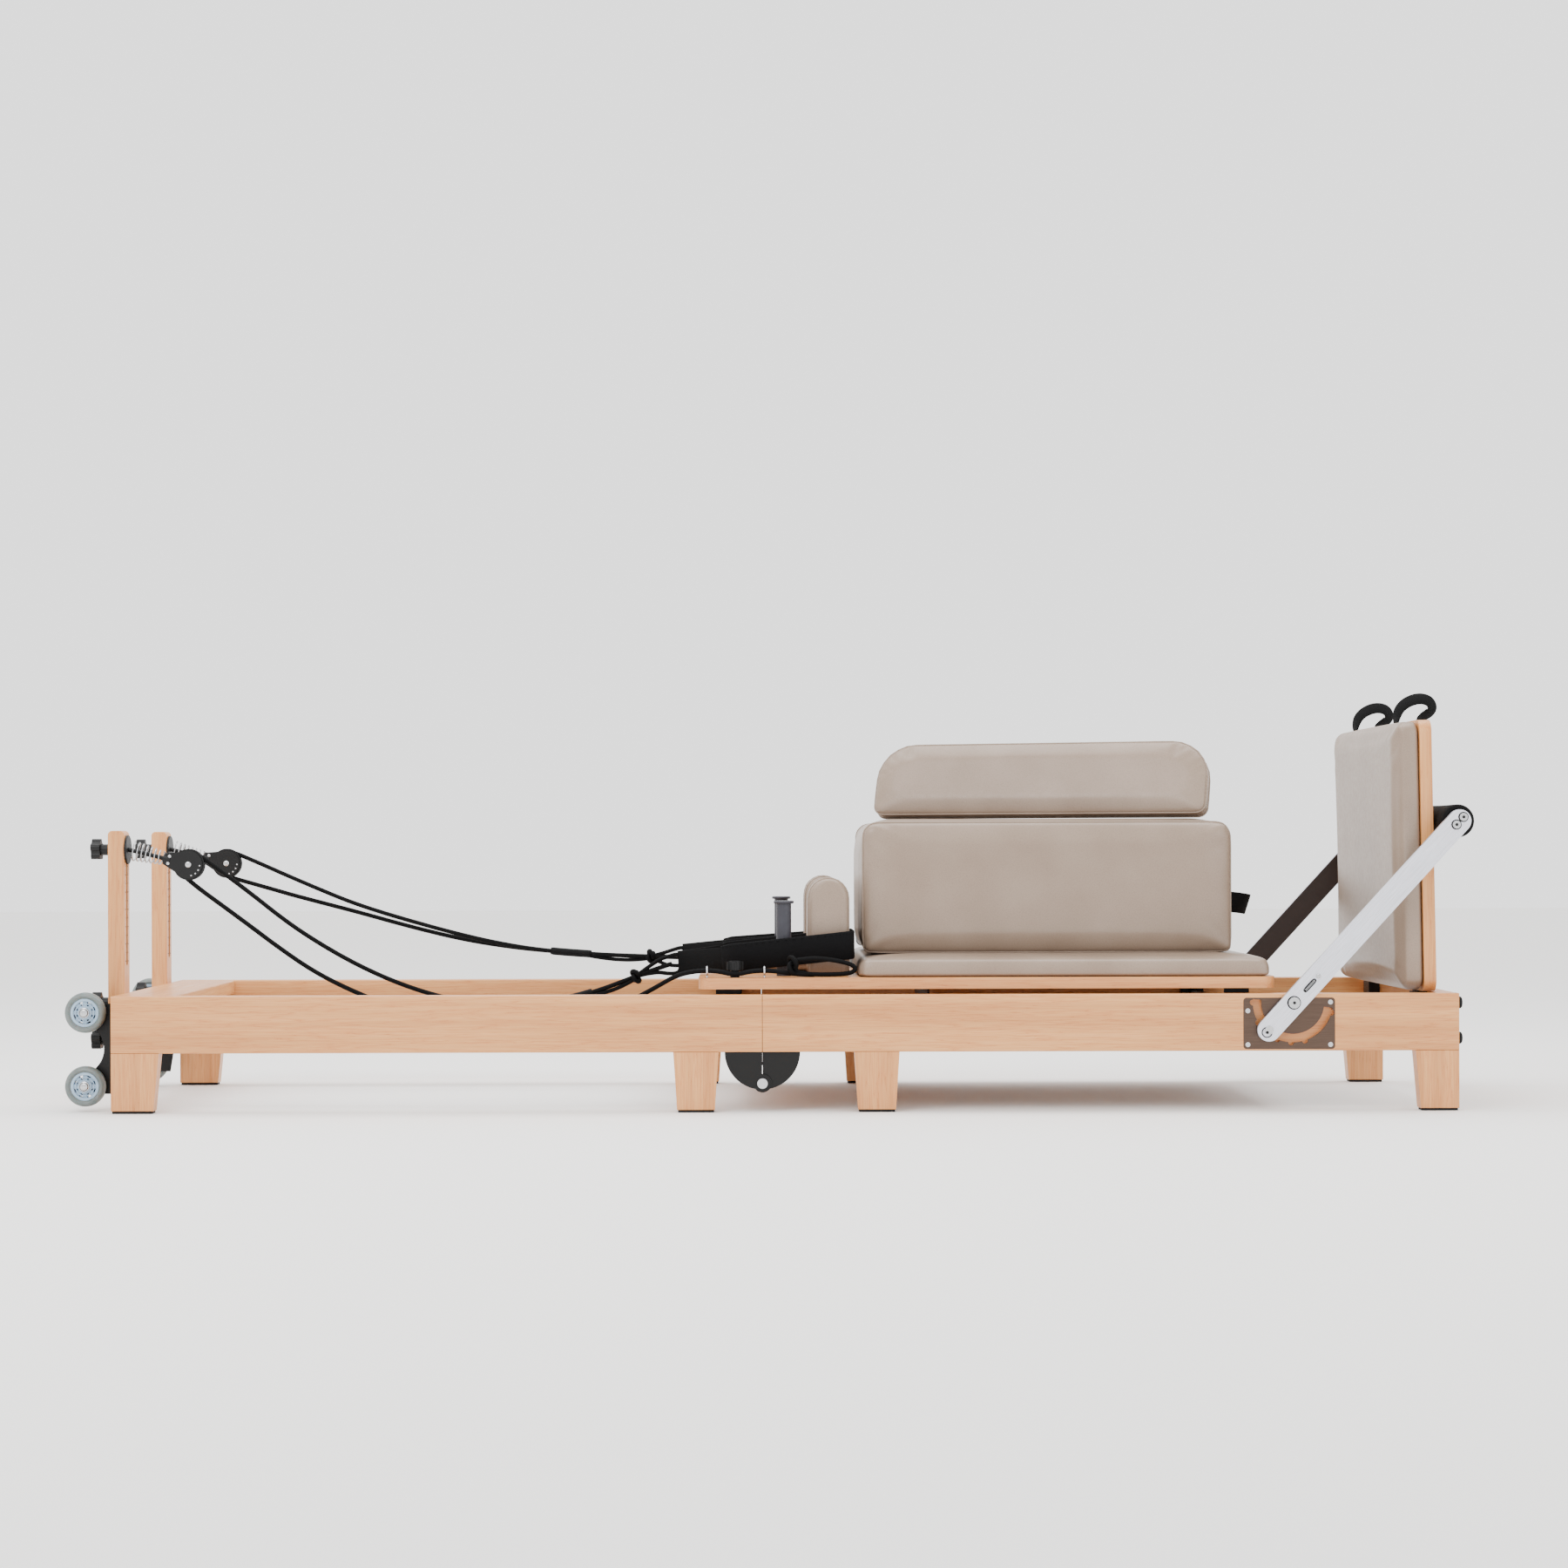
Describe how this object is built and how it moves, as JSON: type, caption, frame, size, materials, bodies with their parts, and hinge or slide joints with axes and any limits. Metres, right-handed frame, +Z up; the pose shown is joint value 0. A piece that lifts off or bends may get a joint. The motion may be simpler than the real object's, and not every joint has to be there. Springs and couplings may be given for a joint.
{
  "type": "pilates reformer",
  "caption": "Folding wooden pilates reformer: sprung carriage on a hinged frame with risers, ropes, footbar, jumpboard and box.",
  "frame": {"origin": "on the floor under the middle of the object's box, without its ropes", "axes": "+Z up, +X along the frame towards the foot end, +Y across it to the far side"},
  "size_m": [2.4782, 0.6924, 0.7276],
  "materials": {
    "maple": "clear satin lacquer on maple",
    "rubber_black": "moulded",
    "steel_black": "black powder coat",
    "steel_chrome": "bright nickel plate",
    "gear_steel": "brushed bronze grey",
    "aluminium": "bead blasted and anodised",
    "wheel_plastic": "clear grey polyurethane on an ice blue hub",
    "plastic_black": "moulded nylon",
    "vinyl": "upholstery vinyl, fine grain",
    "foam_black": "closed cell foam",
    "rope_black": "braided polyester",
    "webbing_black": "woven nylon"
  },
  "bodies": {
    "foot_frame": {"foot_rail_near": "maple", "foot_rail_far": "maple", "foot_end_board": "maple", "foot_joint_board": "maple", "foot_legs": "maple", "foot_leg_pads": "rubber_black", "foot_tracks": "aluminium", "gear_plates": "gear_steel", "frame_bolts": "steel_chrome", "spring_bar": "steel_black", "end_bumpers": "rubber_black", "jumpboard_sockets": "steel_black", "foot_hinge_plates": "steel_black"},
    "head_frame": {"head_rail_near": "maple", "head_rail_far": "maple", "head_end_board": "maple", "head_joint_board": "maple", "head_legs": "maple", "head_leg_pads": "rubber_black", "head_tracks": "aluminium", "head_platform": "maple", "risers": "maple", "riser_knobs": "plastic_black", "wheel_brackets": "steel_black", "head_hinge_plates": "steel_black", "pulley_mounts": "plastic_black", "stand_up_springs": "steel_chrome", "pulley_blocks": "plastic_black"},
    "wheel_near_low": {"skate_wheel_near_low": "wheel_plastic"},
    "wheel_near_high": {"skate_wheel_near_high": "wheel_plastic"},
    "wheel_far_low": {"skate_wheel_far_low": "wheel_plastic"},
    "wheel_far_high": {"skate_wheel_far_high": "wheel_plastic"},
    "sheave_near": {"sheave_near": "plastic_black"},
    "sheave_far": {"sheave_far": "plastic_black"},
    "carriage": {"carriage_board": "maple", "carriage_pad": "vinyl", "shoulder_rests": "vinyl", "rope_pegs": "plastic_black", "rope_cleats": "plastic_black", "carriage_brackets": "steel_black", "carriage_springs": "steel_chrome", "hand_straps": "webbing_black"},
    "ropes": {"rope_near": "rope_black", "rope_far": "rope_black"},
    "headrest": {"headrest": "vinyl"},
    "axle_head": {"carriage_axle_head": "plastic_black"},
    "axle_foot": {"carriage_axle_foot": "plastic_black"},
    "long_box": {"long_box": "vinyl"},
    "lumbar_cushion": {"lumbar_cushion": "vinyl"},
    "footbar_swivel": {"footbar_pivots": "steel_chrome"},
    "footbar": {"footbar_arms": "aluminium", "footbar_tube": "aluminium", "footbar_grip": "foam_black", "footbar_bolts": "steel_chrome"},
    "jumpboard": {"jumpboard_panel": "maple", "jumpboard_pad": "vinyl", "jumpboard_posts": "steel_black", "jumpboard_loops": "webbing_black"}
  },
  "joints": [
    {"name": "frame_fold", "type": "hinge", "parent": "foot_frame", "child": "head_frame", "pos_m": [-0.00815, 0, 0.05], "axis": [0, -1, 0], "range_deg": [0, 180]},
    {"name": "carriage_slide", "type": "slide", "parent": "foot_frame", "child": "carriage", "axis": [1, 0, 0], "range_m": [-0.75, 0], "stiffness_N_per_m": 180, "springref_m": 0.15, "deforming": ["carriage_springs"]},
    {"name": "rope_run", "type": "slide", "parent": "head_frame", "child": "ropes", "axis": [1, 0, 0], "range_m": [-0.752, 0.002], "deforming": ["rope_near", "rope_far"]},
    {"name": "axle_head_spin", "type": "hinge", "parent": "carriage", "child": "axle_head", "pos_m": [-0.06815, 0, 0.18], "axis": [0, 1, 0], "range_deg": [-2153.59, 5]},
    {"name": "axle_foot_spin", "type": "hinge", "parent": "carriage", "child": "axle_foot", "pos_m": [0.83185, 0, 0.18], "axis": [0, 1, 0], "range_deg": [-2153.59, 5]},
    {"name": "headrest_tilt", "type": "hinge", "parent": "carriage", "child": "headrest", "pos_m": [0.13485, 0, 0.2385], "axis": [0, 1, 0], "range_deg": [0, 25]},
    {"name": "box_lift", "type": "slide", "parent": "carriage", "child": "long_box", "axis": [0, 0, 1], "range_m": [0, 0.15]},
    {"name": "cushion_lift", "type": "slide", "parent": "long_box", "child": "lumbar_cushion", "axis": [0, 0, 1], "range_m": [0, 0.1]},
    {"name": "footbar_swing", "type": "hinge", "parent": "foot_frame", "child": "footbar_swivel", "pos_m": [0.91985, 0, 0.1895], "axis": [0, 1, 0], "range_deg": [0, 47.5]},
    {"name": "footbar_latch", "type": "slide", "parent": "footbar_swivel", "child": "footbar", "axis": [0.6756, 0, 0.7373], "range_m": [-0.0055, 0]},
    {"name": "jumpboard_lift", "type": "slide", "parent": "foot_frame", "child": "jumpboard", "axis": [0, 0, 1], "range_m": [0, 0.1]},
    {"name": "wheel_near_low_spin", "type": "hinge", "parent": "head_frame", "child": "wheel_near_low", "pos_m": [-1.20315, -0.28, 0.0445], "axis": [0, 1, 0], "continuous": true},
    {"name": "wheel_near_high_spin", "type": "hinge", "parent": "head_frame", "child": "wheel_near_high", "pos_m": [-1.20315, -0.28, 0.1745], "axis": [0, 1, 0], "continuous": true},
    {"name": "wheel_far_low_spin", "type": "hinge", "parent": "head_frame", "child": "wheel_far_low", "pos_m": [-1.20315, 0.28, 0.0445], "axis": [0, 1, 0], "continuous": true},
    {"name": "wheel_far_high_spin", "type": "hinge", "parent": "head_frame", "child": "wheel_far_high", "pos_m": [-1.20315, 0.28, 0.1745], "axis": [0, 1, 0], "continuous": true},
    {"name": "sheave_near_spin", "type": "hinge", "parent": "head_frame", "child": "sheave_near", "pos_m": [-1.03615, -0.192, 0.435], "axis": [0, 1, 0], "continuous": true},
    {"name": "sheave_far_spin", "type": "hinge", "parent": "head_frame", "child": "sheave_far", "pos_m": [-1.03615, 0.192, 0.435], "axis": [0, 1, 0], "continuous": true}
  ],
  "couplings": [
    {"joint": "rope_run", "follows": "carriage_slide", "ratio": 1},
    {"joint": "axle_head_spin", "follows": "carriage_slide", "rad_per_m": 50},
    {"joint": "axle_foot_spin", "follows": "carriage_slide", "rad_per_m": 50}
  ]
}
